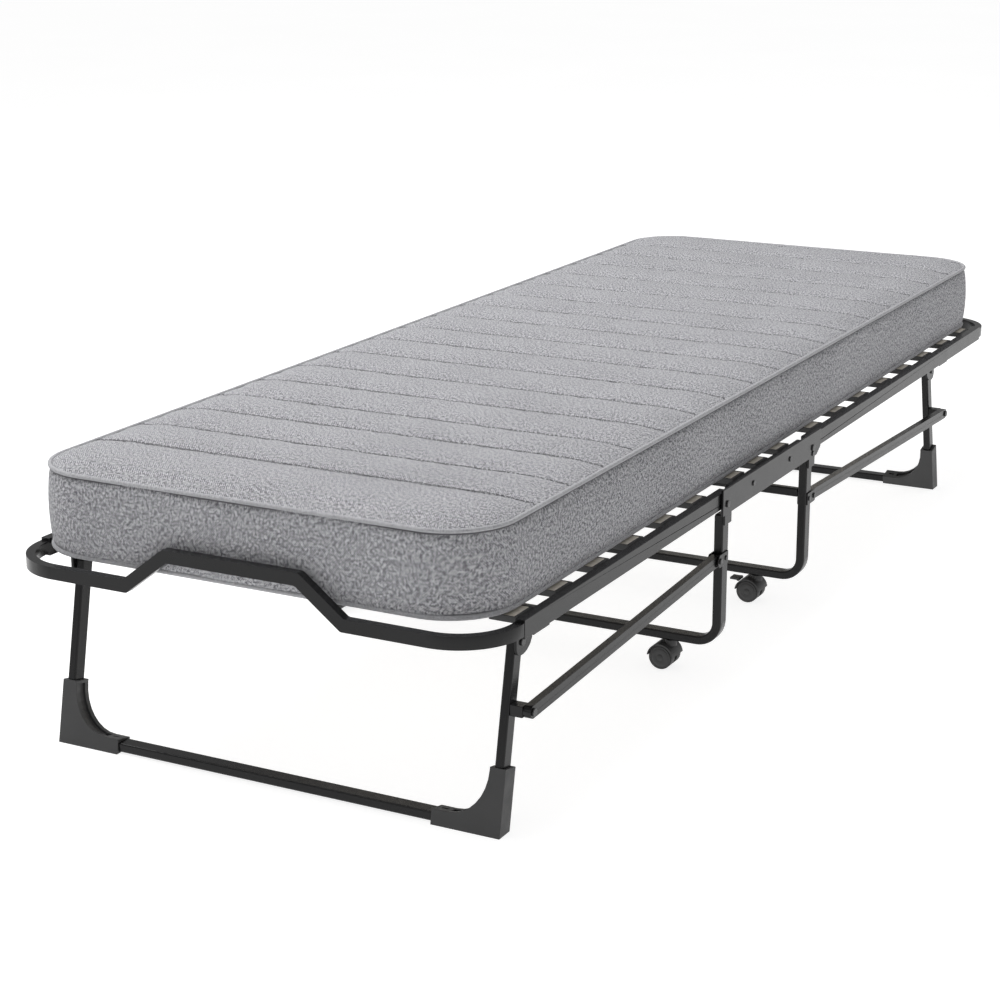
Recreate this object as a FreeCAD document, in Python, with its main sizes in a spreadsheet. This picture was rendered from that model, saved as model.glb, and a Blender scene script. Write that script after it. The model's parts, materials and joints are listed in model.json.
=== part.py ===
import FreeCAD, Part
import math
import os
import Sketcher

# Folding cot: a slatted steel frame in three sections that fold upwards about
# two cross axes, folding end legs, two caster frames and a one-piece mattress.
# X is the width (right is +X), Y the length (head end at +Y), Z is up.
# The origin is on the floor, below the middle of the frame.

doc = FreeCAD.newDocument("folding_cot")
sheet = doc.addObject("Spreadsheet::Sheet", "dims")

DRIVING = (
    ("frame_end", 968.0),
    ("rail_end", 885.0),
    ("rail_outer", 342.5),
    ("rail_wide", 12.5),
    ("rail_tall", 23.0),
    ("rail_base", 243.0),
    ("bend_outer", 80.0),
    ("endtube_wide", 12.0),
    ("endtube_tall", 16.0),
    ("endtube_outer", 342.0),
    ("hoop_foot", 155.0),
    ("hoop_top", 95.0),
    ("hoop_rise", 46.0),
    ("fold_foot", 298.0),
    ("fold_head", 28.0),
    ("fold_up", 248.5),
    ("stub", 8.0),
    ("pin_radius", 3.0),
    ("pin_fit", 0.05),
    ("open_fit", 0.3),
    ("plate_thick", 3.5),
    ("plate_gap", 0.5),
    ("plate_low", 234.0),
    ("plate_high", 271.0),
    ("plate_tail", 16.0),
    ("tab_low", 220.0),
    ("caster_foot_at", 295.0),
    ("caster_head_at", 25.0),
    ("tube_wide", 12.5),
    ("tube_deep", 20.0),
    ("caster_bar_low", 43.0),
    ("caster_bar_tall", 12.0),
    ("caster_tube_top", 234.0),
    ("caster_bend", 36.0),
    ("crossbar_low", 172.5),
    ("crossbar_tall", 13.0),
    ("leg_foot_at", 845.0),
    ("leg_head_at", 687.5),
    ("leg_up", 224.0),
    ("leg_outer", 314.5),
    ("leg_wide", 12.0),
    ("leg_deep", 20.0),
    ("splay_foot", 11.6),
    ("splay_head", 14.0),
    ("leg_bar_low", 2.0),
    ("leg_bar_tall", 12.0),
    ("hanger_thick", 3.5),
    ("hanger_low", 208.0),
    ("link_back", 16.0),
    ("link_drop", 77.0),
    ("brace_inner", 331.5),
    ("brace_wide", 10.0),
    ("brace_tall", 16.0),
    ("boot_outer", 319.0),
    ("boot_tall", 80.0),
    ("boot_reach", 92.0),
    ("boot_wall", 21.0),
    ("boot_arm", 17.0),
    ("boot_deep", 25.0),
    ("channel_wide", 11.0),
    ("channel_deep", 3.0),
    ("slat_reach", 326.0),
    ("slat_wide", 38.0),
    ("slat_thick", 6.0),
    ("slat_base", 260.5),
    ("cap_long", 36.0),
    ("cap_open", 20.0),
    ("cap_wide", 42.0),
    ("cap_base", 258.5),
    ("bed_base", 268.0),
    ("bed_thick", 110.0),
    ("bed_half_wide", 320.0),
    ("bed_end_foot", 945.0),
    ("bed_end_head", 925.0),
    ("bed_corner", 82.0),
    ("notch_gap", 0.8),
    ("caster_at", 266.0),
    ("caster_trail", 9.0),
    ("wheel_radius", 17.0),
    ("wheel_wide", 12.0),
    ("wheel_lift", 0.8),
    ("hood_radius", 19.5),
    ("hood_wide", 36.0),
    ("stem_radius", 5.0),
)

for row, (alias, number) in enumerate(DRIVING):
    sheet.set("A%d" % (row + 1), alias)
    sheet.set("B%d" % (row + 1), str(number))
    sheet.setAlias("B%d" % (row + 1), alias)
doc.recompute()


class Size:
    """A length that knows its value and the sheet expression behind it."""

    def __init__(self, value, text):
        self.value = value
        self.text = text

    def __add__(self, other):
        other = as_size(other)
        return Size(self.value + other.value, "(%s + %s)" % (self.text, other.text))

    def __sub__(self, other):
        other = as_size(other)
        return Size(self.value - other.value, "(%s - %s)" % (self.text, other.text))

    def __mul__(self, factor):
        factor = as_size(factor)
        return Size(self.value * factor.value, "(%s * %s)" % (self.text, factor.text))

    def __truediv__(self, factor):
        factor = as_size(factor)
        return Size(self.value / factor.value, "(%s / %s)" % (self.text, factor.text))

    def __neg__(self):
        return Size(-self.value, "(0 - %s)" % self.text)


def as_size(number):
    if isinstance(number, Size):
        return number
    return Size(float(number), "%.6f" % number)


def dim(alias):
    return Size(float(sheet.get(alias)), "dims.%s" % alias)


def slope(alias):
    """Tangent of an angle kept in the sheet in degrees."""
    angle = float(sheet.get(alias))
    return Size(math.tan(math.radians(angle)), "tan(dims.%s * 1 deg)" % alias)


def bind(obj, prop, amount):
    obj.setExpression(prop, as_size(amount).text)


def place(obj, x=0.0, y=0.0, z=0.0):
    for axis, amount in (("x", x), ("y", y), ("z", z)):
        bind(obj, "Placement.Base.%s" % axis, amount)


PARTS = []


def keep(obj, label):
    obj.Label = label
    PARTS.append(obj)
    return obj


counter = [0]


def helper_name(stem):
    counter[0] += 1
    return "%s_%03d" % (stem, counter[0])


def span(low, high):
    """Start and length of a stretch given by its two ends, in either order."""
    low = as_size(low)
    high = as_size(high)
    if low.value > high.value:
        low, high = high, low
    return low, high - low


def box(x0, x1, y0, y1, z0, z1):
    solid = doc.addObject("Part::Box", helper_name("bar"))
    x, long_x = span(x0, x1)
    y, long_y = span(y0, y1)
    z, long_z = span(z0, z1)
    bind(solid, "Length", long_x)
    bind(solid, "Width", long_y)
    bind(solid, "Height", long_z)
    place(solid, x, y, z)
    return solid


TO_X = FreeCAD.Rotation(FreeCAD.Vector(0, 1, 0), 90)
TO_Y = FreeCAD.Rotation(FreeCAD.Vector(1, 0, 0), -90)
TO_Z = FreeCAD.Rotation()


def rod(axis, radius, start, end, first, second):
    """Cylinder along an axis; first and second are its other two coordinates."""
    solid = doc.addObject("Part::Cylinder", helper_name("rod"))
    low, long_way = span(start, end)
    bind(solid, "Radius", radius)
    bind(solid, "Height", long_way)
    if axis == "x":
        solid.Placement = FreeCAD.Placement(FreeCAD.Vector(), TO_X)
        place(solid, low, first, second)
    elif axis == "y":
        solid.Placement = FreeCAD.Placement(FreeCAD.Vector(), TO_Y)
        place(solid, first, low, second)
    else:
        solid.Placement = FreeCAD.Placement(FreeCAD.Vector(), TO_Z)
        place(solid, first, second, low)
    return solid


def cut(base, tools):
    tool = tools[0]
    if len(tools) > 1:
        tool = doc.addObject("Part::MultiFuse", helper_name("tools"))
        tool.Shapes = tools
    result = doc.addObject("Part::Cut", helper_name("cut"))
    result.Base = base
    result.Tool = tool
    return result


def fuse(shapes):
    result = doc.addObject("Part::MultiFuse", helper_name("joined"))
    result.Shapes = shapes
    return result


def group(shapes):
    result = doc.addObject("Part::Compound", helper_name("set"))
    result.Links = shapes
    return result


def plane_of(body, role):
    for feature in body.Origin.OriginFeatures:
        if feature.Role == role:
            return feature
    raise ValueError(role)


def outline(body, role, loops):
    """Closed straight-sided loops, every corner dimensioned from the origin."""
    sketch = body.newObject("Sketcher::SketchObject", helper_name("sketch"))
    sketch.AttachmentSupport = [(plane_of(body, role), "")]
    sketch.MapMode = "FlatFace"
    for points in loops:
        first = sketch.GeometryCount
        count = len(points)
        for index in range(count):
            a = points[index]
            b = points[(index + 1) % count]
            start = FreeCAD.Vector(as_size(a[0]).value, as_size(a[1]).value, 0)
            end = FreeCAD.Vector(as_size(b[0]).value, as_size(b[1]).value, 0)
            sketch.addGeometry(Part.LineSegment(start, end), False)
        for index in range(count):
            after = first + (index + 1) % count
            sketch.addConstraint(Sketcher.Constraint("Coincident", first + index, 2, after, 1))
        for index, corner in enumerate(points):
            for kind, amount in (("DistanceX", corner[0]), ("DistanceY", corner[1])):
                amount = as_size(amount)
                number = sketch.addConstraint(
                    Sketcher.Constraint(kind, -1, 1, first + index, 1, amount.value)
                )
                if "dims" in amount.text:
                    sketch.setExpression("Constraints[%d]" % number, amount.text)
    return sketch


def pad(body, sketch, length, backwards=False):
    feature = body.newObject("PartDesign::Pad", helper_name("pad"))
    feature.Profile = sketch
    bind(feature, "Length", length)
    feature.Reversed = backwards
    body.Tip = feature
    return feature


def new_body():
    return doc.addObject("PartDesign::Body", helper_name("body"))


def round_edges(body, radius, chosen):
    """Fillet the tip's edges whose direction and middle satisfy a test."""
    doc.recompute()
    base = body.Tip
    names = []
    for index, edge in enumerate(base.Shape.Edges):
        ends = edge.Vertexes
        if len(ends) < 2:
            continue
        way = ends[1].Point - ends[0].Point
        if way.Length < 1e-6:
            continue
        if chosen(edge.CenterOfMass, way.normalize()):
            names.append("Edge%d" % (index + 1))
    if not names:
        raise ValueError("no edge to round")
    feature = body.newObject("PartDesign::Fillet", helper_name("round"))
    feature.Base = (base, names)
    bind(feature, "Radius", radius)
    body.Tip = feature
    return feature


def side_prism(points, x0, x1):
    """A solid whose side view is a closed outline in Y and Z, from x0 to x1."""
    body = new_body()
    low, long_way = span(x0, x1)
    sketch = outline(body, "YZ_Plane", [points])
    pad(body, sketch, long_way)
    place(body, low, 0, 0)
    return body


SIDES = (("left", -1), ("right", 1))

rail_inner = dim("rail_outer") - dim("rail_wide")
rail_top = dim("rail_base") + dim("rail_tall")
plate_inner = dim("rail_outer") + dim("plate_gap")
plate_outer = plate_inner + dim("plate_thick")
caster_tube_outer = plate_inner
caster_tube_inner = plate_inner - dim("tube_wide")
hole_radius = dim("pin_radius") + dim("pin_fit")
open_radius = dim("pin_radius") + dim("open_fit")
head_radius = dim("pin_radius") + 1.8

# End data of the two folding sections: name, direction along Y, fold axis,
# leg pivot, leg splay and the caster frame's place.
ENDS = (
    ("foot", -1, -dim("fold_foot"), -dim("leg_foot_at"), "splay_foot", -dim("caster_foot_at")),
    ("head", 1, dim("fold_head"), dim("leg_head_at"), "splay_head", dim("caster_head_at")),
)

# ---------------------------------------------------------------- end sections


def side_rail(end, side, sign, out, fold):
    near = fold - dim("stub") * out
    far = dim("rail_end") * out
    bar = box(rail_inner * sign, dim("rail_outer") * sign, near, far, dim("rail_base"), rail_top)
    hole = rod("x", hole_radius, rail_inner * sign - 2.0 * sign,
               dim("rail_outer") * sign + 2.0 * sign, fold, dim("fold_up"))
    return keep(cut(bar, [hole]), "%s_rail_%s" % (end, side))


def end_rail(end, out):
    """Bent tube across the end: rounded plan corners and a raised middle."""
    body = new_body()
    middle = dim("rail_base") + dim("rail_tall") / 2
    low = middle - dim("endtube_tall") / 2
    high = middle + dim("endtube_tall") / 2
    rise = dim("hoop_rise")
    lean = dim("endtube_tall") * 0.3395
    reach = dim("hoop_foot") + 12.0
    hoop = (
        (-reach, low), (-dim("hoop_foot") + lean, low),
        (-dim("hoop_top") + lean, low + rise), (dim("hoop_top") - lean, low + rise),
        (dim("hoop_foot") - lean, low), (reach, low),
        (reach, high), (dim("hoop_foot"), high),
        (dim("hoop_top"), high + rise), (-dim("hoop_top"), high + rise),
        (-dim("hoop_foot"), high), (-reach, high),
    )
    sketch = outline(body, "XZ_Plane", [hoop])
    # The plane's normal is -Y: the pad starts at the outer face of the tube.
    outer = dim("frame_end") * out
    inner = (dim("frame_end") - dim("endtube_wide")) * out
    near_face = outer if out > 0 else inner
    sketch.setExpression("AttachmentOffset.Base.z", (-near_face).text)
    pad(body, sketch, dim("endtube_wide"))

    def hoop_bend(centre, way):
        return abs(way.y) > 0.99 and abs(centre.x) < reach.value - 3.0

    round_edges(body, 7.0, hoop_bend)
    loops = []
    for sign in (-1, 1):
        x_out = dim("endtube_outer") * sign
        x_in = (dim("endtube_outer") - dim("endtube_wide")) * sign
        x_mid = (reach - 6.0) * sign
        y_out = outer
        y_in = inner
        y_rail = dim("rail_end") * out
        loops.append(((x_mid, y_out), (x_out, y_out), (x_out, y_rail),
                      (x_in, y_rail), (x_in, y_in), (x_mid, y_in)))
    plan = outline(body, "XY_Plane", loops)
    plan.setExpression("AttachmentOffset.Base.z", low.text)
    pad(body, plan, dim("endtube_tall"))

    def outer_bend(centre, way):
        at_x = abs(abs(centre.x) - dim("endtube_outer").value) < 0.01
        at_y = abs(abs(centre.y) - dim("frame_end").value) < 0.01
        return abs(way.z) > 0.99 and at_x and at_y

    def inner_bend(centre, way):
        x_in = dim("endtube_outer").value - dim("endtube_wide").value
        y_in = dim("frame_end").value - dim("endtube_wide").value
        at_x = abs(abs(centre.x) - x_in) < 0.01
        at_y = abs(abs(centre.y) - y_in) < 0.01
        return abs(way.z) > 0.99 and at_x and at_y

    round_edges(body, dim("bend_outer"), outer_bend)
    round_edges(body, dim("bend_outer") - dim("endtube_wide"), inner_bend)
    return keep(body, "%s_end_rail" % end)


def slats(prefix, rows):
    """Wooden slats at the given Y places, each end in a moulded cap."""
    boards = []
    caps = []
    board_top = dim("slat_base") + dim("slat_thick")
    for row in rows:
        y0 = row - dim("slat_wide") / 2
        y1 = row + dim("slat_wide") / 2
        c0 = row - dim("cap_wide") / 2
        c1 = row + dim("cap_wide") / 2
        boards.append(box(-dim("slat_reach"), dim("slat_reach"),
                          y0, y1, dim("slat_base"), board_top))
        for sign in (-1, 1):
            # A sleeve under the bed's edge, left open on top beside the rail.
            start = (rail_inner - dim("cap_long")) * sign
            block = box(start, rail_inner * sign, c0, c1, dim("cap_base"), dim("bed_base"))
            pocket = box(start - 2.0 * sign, dim("slat_reach") * sign,
                         y0, y1, dim("slat_base"), board_top)
            window = box((rail_inner - dim("cap_open")) * sign, (rail_inner + 1.0) * sign,
                         c0 - 1.0, c1 + 1.0, board_top, dim("bed_base") + 1.0)
            caps.append(cut(block, [pocket, window]))
    keep(group(boards), "%s_slats" % prefix)
    keep(group(caps), "%s_slat_caps" % prefix)


def leg_brackets(end, out, pivot):
    """Angle brackets under the rails: each carries a leg pin on its hanging plate."""
    plates = []
    inner = dim("leg_outer") + dim("plate_gap")
    outer = inner + dim("hanger_thick")
    flange_base = dim("rail_base") - 3.0
    for side, sign in SIDES:
        points = (
            (pivot + 14.0 * out, dim("rail_base")), (pivot + 26.0 * -out, dim("rail_base")),
            (pivot + 25.0 * -out, dim("hanger_low") + 14.0),
            (pivot + 20.0 * -out, dim("hanger_low") + 7.0),
            (pivot + 12.0 * -out, dim("hanger_low") + 2.0),
            (pivot + 4.0 * -out, dim("hanger_low")), (pivot + 5.0 * out, dim("hanger_low")),
            (pivot + 11.0 * out, dim("hanger_low") + 3.0),
            (pivot + 14.0 * out, dim("hanger_low") + 9.0),
        )
        plate = side_prism(points, inner * sign, outer * sign)
        flange = box((outer - 1.0) * sign, (dim("rail_outer") - 2.0) * sign, pivot + 14.0 * out,
                     pivot + 26.0 * -out, flange_base, dim("rail_base"))
        hole = rod("x", hole_radius, (inner - 4.0) * sign, (outer + 4.0) * sign,
                   pivot, dim("leg_up"))
        plates.append(cut(fuse([plate, flange]), [hole]))
    keep(group(plates), "%s_leg_brackets" % end)


def mattress_end(end, out, fold):
    """End block of the mattress, mitred at the fold."""
    base = dim("bed_base")
    top = dim("bed_base") + dim("bed_thick")
    near_base = fold + (base - dim("fold_up") + dim("notch_gap")) * out
    near_top = fold + (top - dim("fold_up") + dim("notch_gap")) * out
    far = dim("bed_end_%s" % end) * out
    points = ((near_base, base), (far, base), (far, top), (near_top, top))
    body = side_prism(points, -dim("bed_half_wide"), dim("bed_half_wide"))

    def corner(centre, way):
        return abs(way.z) > 0.99 and abs(abs(centre.y) - far_value) < 0.01

    far_value = dim("bed_end_%s" % end).value
    round_edges(body, dim("bed_corner"), corner)
    keep(body, "mattress_%s" % end)


foot_rows = [-dim("fold_foot") - 57.0 - 101.0 * step for step in range(6)]
head_rows = [dim("fold_head") + 60.0 + 107.0 * step for step in range(8)]
middle = (dim("fold_head") - dim("fold_foot")) / 2
centre_rows = [middle + 85.0 * step for step in (-1, 0, 1)]

for end, out, fold, pivot, splay, caster_y in ENDS:
    for side, sign in SIDES:
        side_rail(end, side, sign, out, fold)
    end_rail(end, out)
    slats(end, foot_rows if out < 0 else head_rows)
    leg_brackets(end, out, pivot)
    mattress_end(end, out, fold)

# ---------------------------------------------------------------- centre section

centre_low_y = -dim("fold_foot") - dim("plate_tail")
centre_high_y = dim("fold_head") + dim("plate_tail")
pins = []
rivets = []
for side, sign in SIDES:
    tab = dim("tube_deep") / 2 + 2.0
    low_y = -dim("caster_foot_at")
    high_y = dim("caster_head_at")
    points = (
        (centre_low_y, dim("plate_low")),
        (low_y - tab, dim("plate_low")), (low_y - tab, dim("tab_low")),
        (low_y + tab, dim("tab_low")), (low_y + tab, dim("plate_low")),
        (high_y - tab, dim("plate_low")), (high_y - tab, dim("tab_low")),
        (high_y + tab, dim("tab_low")), (high_y + tab, dim("plate_low")),
        (centre_high_y, dim("plate_low")),
        (centre_high_y + 16.0, dim("plate_low") + 10.0),
        (centre_high_y + 16.0, dim("plate_high")),
        (centre_low_y, dim("plate_high")),
    )
    plate = side_prism(points, plate_inner * sign, plate_outer * sign)
    keep(plate, "centre_plate_%s" % side)
    rail = box(rail_inner * sign, plate_inner * sign, -dim("fold_foot") + 26.0,
               dim("fold_head") - 26.0, dim("rail_base"), rail_top)
    keep(rail, "centre_rail_%s" % side)
    for fold in (-dim("fold_foot"), dim("fold_head")):
        pins.append(rod("x", dim("pin_radius"), rail_inner * sign, plate_inner * sign,
                        fold, dim("fold_up")))
        rivets.append(rod("x", head_radius, plate_outer * sign,
                          (plate_outer + 2.0) * sign, fold, dim("fold_up")))
    for y, z in ((dim("fold_head") + 1.0, dim("plate_low") + 5.5),
                 (middle - 70.0, dim("plate_low") + 20.0),
                 (middle + 70.0, dim("plate_low") + 20.0)):
        rivets.append(rod("x", head_radius - 1.0, plate_outer * sign,
                          (plate_outer + 1.6) * sign, y, z))
keep(group(pins), "fold_pins")
slats("centre", centre_rows)

for end, out, fold, pivot, splay, caster_y in ENDS:
    # U-shaped tube frame that carries two casters.
    body = new_body()
    low = dim("caster_bar_low")
    inner_low = low + dim("caster_bar_tall")
    top = dim("caster_tube_top")
    points = (
        (-caster_tube_outer, top), (-caster_tube_outer, low),
        (caster_tube_outer, low), (caster_tube_outer, top),
        (caster_tube_inner, top), (caster_tube_inner, inner_low),
        (-caster_tube_inner, inner_low), (-caster_tube_inner, top),
    )
    sketch = outline(body, "XZ_Plane", [points])
    pad(body, sketch, dim("tube_deep"))
    place(body, 0, caster_y + dim("tube_deep") / 2, 0)

    def outer_corner(centre, way):
        return abs(way.y) > 0.99 and abs(centre.z - dim("caster_bar_low").value) < 0.01

    def inner_corner(centre, way):
        level = dim("caster_bar_low").value + dim("caster_bar_tall").value
        return abs(way.y) > 0.99 and abs(centre.z - level) < 0.01

    round_edges(body, dim("caster_bend"), outer_corner)
    round_edges(body, dim("caster_bend") - dim("caster_bar_tall"), inner_corner)
    keep(body, "caster_frame_%s" % end)

bracket_inner = caster_tube_inner - 2.0
crossbar = box(-bracket_inner, bracket_inner, dim("caster_head_at") - 6.0,
               dim("caster_head_at") + 6.0, dim("crossbar_low"),
               dim("crossbar_low") + dim("crossbar_tall"))
keep(crossbar, "caster_frame_crossbar")

for end, out, fold, pivot, splay, caster_y in ENDS:
    # Bracket on the caster frame for the brace on the right side, with its pin.
    swing_y = fold + dim("link_back") * out
    swing_z = dim("fold_up") - dim("link_drop")
    plates = []
    for x0, x1 in ((caster_tube_outer, caster_tube_outer + 2.0),
                   (caster_tube_inner - 2.0, caster_tube_inner)):
        points = (
            (caster_y - 7.0 * out, swing_z - 9.0), (swing_y + 3.0 * out, swing_z - 9.0),
            (swing_y + 8.0 * out, swing_z - 4.0), (swing_y + 8.0 * out, swing_z + 4.0),
            (swing_y + 3.0 * out, swing_z + 9.0), (caster_y - 7.0 * out, swing_z + 9.0),
        )
        plates.append(side_prism(points, x0, x1))
    keep(group(plates), "%s_brace_bracket" % end)
    keep(rod("x", dim("pin_radius"), caster_tube_inner, caster_tube_outer,
             swing_y, swing_z), "%s_brace_pin" % end)
    rivets.append(rod("x", head_radius - 0.8, caster_tube_outer + 2.0,
                      caster_tube_outer + 3.8, swing_y, swing_z))
    rivets.append(rod("x", head_radius - 1.4, caster_tube_outer + 2.0,
                      caster_tube_outer + 3.4, caster_y, swing_z))
keep(group(rivets), "rivets")

# Middle block of the mattress, narrower at the top because of the two mitres.
base = dim("bed_base")
top = dim("bed_base") + dim("bed_thick")
points = (
    (-dim("fold_foot") + (base - dim("fold_up") + dim("notch_gap")), base),
    (dim("fold_head") - (base - dim("fold_up") + dim("notch_gap")), base),
    (dim("fold_head") - (top - dim("fold_up") + dim("notch_gap")), top),
    (-dim("fold_foot") + (top - dim("fold_up") + dim("notch_gap")), top),
)
keep(side_prism(points, -dim("bed_half_wide"), dim("bed_half_wide")), "mattress_centre")

# ---------------------------------------------------------------- legs and braces


def boot_curve(wall_x, sign, sunk):
    """The boot's concave edge from its wall to its arm, moved into the body by a depth."""
    steps = 8
    run = dim("boot_reach") - dim("boot_wall") - 22.0
    drop = dim("boot_tall") - dim("boot_arm") - 4.0
    points = []
    for step in range(steps + 1):
        angle = math.radians(90.0 * step / steps)
        x = wall_x - run * ((1.0 - math.cos(angle)) * sign)
        z = dim("boot_tall") - 4.0 - drop * math.sin(angle)
        points.append((x + sunk * (math.cos(angle) * sign), z - sunk * math.sin(angle)))
    return points


def lifted(points, height, sign):
    """The same edge moved outwards, clear of the body."""
    count = len(points) - 1
    moved = []
    for index, (x, z) in enumerate(points):
        angle = math.radians(90.0 * index / count)
        moved.append((x - height * math.cos(angle) * sign, z + height * math.sin(angle)))
    return moved


floor_slab = box(-500.0, 500.0, -1200.0, 1200.0, -60.0, 0.0)

for end, out, fold, pivot, splay, caster_y in ENDS:
    lean = slope(splay) * out
    upright = 1.0 / math.cos(math.radians(float(sheet.get(splay))))
    half = dim("leg_deep") * 0.5 * upright
    tube_low = dim("leg_bar_low")
    tube_top = dim("leg_up") + 9.0
    y_low = pivot + (dim("leg_up") - tube_low) * lean
    y_high = pivot - (tube_top - dim("leg_up")) * lean
    bar_y = pivot + (dim("leg_up") - dim("leg_bar_low") - dim("leg_bar_tall") / 2) * lean
    bar = box(-dim("leg_outer") + dim("leg_wide"), dim("leg_outer") - dim("leg_wide"),
              bar_y - dim("leg_deep") / 2, bar_y + dim("leg_deep") / 2,
              dim("leg_bar_low"), dim("leg_bar_low") + dim("leg_bar_tall"))
    keep(bar, "%s_leg_bar" % end)
    leg_pins = []
    link_y = pivot + dim("link_back") * out
    link_z = dim("leg_up") - dim("link_drop")
    swing_y = fold + dim("link_back") * out
    swing_z = dim("fold_up") - dim("link_drop")
    for side, sign in SIDES:
        points = ((y_low - half, tube_low), (y_low + half, tube_low),
                  (y_high + half, tube_top), (y_high - half, tube_top))
        tube = side_prism(points, (dim("leg_outer") - dim("leg_wide")) * sign,
                          dim("leg_outer") * sign)
        keep(tube, "%s_leg_tube_%s" % (end, side))

        # Moulded corner boot: a wall, an arm and a hollowed web between them.
        boot = new_body()
        outer = dim("boot_outer") * sign
        wall_x = (dim("boot_outer") - dim("boot_wall")) * sign
        arm_x = (dim("boot_outer") - dim("boot_reach")) * sign
        edge = [(outer, as_size(-9.0)), (outer, dim("boot_tall")), (wall_x, dim("boot_tall"))]
        curve = boot_curve(wall_x, sign, as_size(0.0))
        edge += curve
        edge.append((arm_x, dim("boot_arm")))
        edge.append((arm_x, as_size(-9.0)))
        sketch = outline(boot, "XZ_Plane", [edge])
        sketch.setExpression("AttachmentOffset.Base.z", (dim("boot_deep") * -0.5).text)
        pad(boot, sketch, dim("boot_deep"))
        turn = float(sheet.get(splay)) * out
        boot.Placement = FreeCAD.Placement(
            FreeCAD.Vector(), FreeCAD.Rotation(FreeCAD.Vector(1, 0, 0), turn)
        )
        place(boot, 0, pivot + dim("leg_up") * lean, 0)
        # Recess along the curve, between a front and a back lip, with a slot in the arm.
        deeper = boot_curve(wall_x, sign, dim("channel_deep"))
        channel = new_body()
        groove = outline(channel, "XZ_Plane", [lifted(curve, 2.0, sign) + deeper[::-1]])
        groove.setExpression("AttachmentOffset.Base.z", (dim("channel_wide") * -0.5).text)
        pad(channel, groove, dim("channel_wide"))
        slot_x = (dim("boot_outer") - dim("boot_reach") + 12.0) * sign
        slot = new_body()
        opening = ((slot_x - 4.5, dim("boot_arm") - 2.2), (slot_x + 4.5, dim("boot_arm") - 2.2),
                   (slot_x + 4.5, dim("boot_arm") + 4.0), (slot_x - 4.5, dim("boot_arm") + 4.0))
        mouth = outline(slot, "XZ_Plane", [opening])
        mouth.setExpression("AttachmentOffset.Base.z", "0 - 2.0")
        pad(slot, mouth, 4.0)
        for tool in (channel, slot):
            tool.Placement = boot.Placement
            place(tool, 0, pivot + dim("leg_up") * lean, 0)
        shaped = cut(boot, [floor_slab, tube, bar, channel, slot])
        keep(shaped, "%s_boot_%s" % (end, side))

        # The leg's own pin, through the hanging plate of its bracket.
        plate_out = dim("leg_outer") + dim("plate_gap") + dim("hanger_thick")
        shank = rod("x", dim("pin_radius"), dim("leg_outer") * sign,
                    (plate_out + 0.5) * sign, pivot, dim("leg_up"))
        knob = rod("x", head_radius, (plate_out + 0.4) * sign,
                   (plate_out + 2.2) * sign, pivot, dim("leg_up"))
        leg_pins.append(fuse([shank, knob]))

    # Block on the right leg that holds the brace pin.
    reach_out = dim("brace_inner") + dim("brace_wide")
    keep(box(dim("leg_outer"), dim("brace_inner") - 0.5, link_y - 8.0, link_y + 8.0,
             link_z - 7.0, link_z + 7.0), "%s_leg_brace_block" % end)
    leg_pins.append(rod("x", dim("pin_radius"), dim("brace_inner") - 0.5,
                        reach_out + 0.5, link_y, link_z))
    leg_pins.append(rod("x", head_radius, reach_out + 0.5, reach_out + 2.3,
                        link_y, link_z))
    keep(group(leg_pins), "%s_leg_pins" % end)

    # Brace tube with round ends, running from the caster frame to the right leg.
    x0 = dim("brace_inner")
    x1 = reach_out
    rise = dim("brace_tall") / 2
    points = ((swing_y, swing_z - rise), (swing_y, swing_z + rise),
              (link_y, link_z + rise), (link_y, link_z - rise))
    shaft = side_prism(points, x0, x1)
    near_end = rod("x", rise, x0, x1, swing_y, swing_z)
    far_end = rod("x", rise, x0, x1, link_y, link_z)
    near_hole = rod("x", hole_radius, x0 - 3.0, x1 + 3.0, swing_y, swing_z)
    far_hole = rod("x", open_radius, x0 - 3.0, x1 + 3.0, link_y, link_z)
    keep(cut(fuse([shaft, near_end, far_end]), [near_hole, far_hole]), "%s_brace_tube" % end)

# ---------------------------------------------------------------- casters

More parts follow.
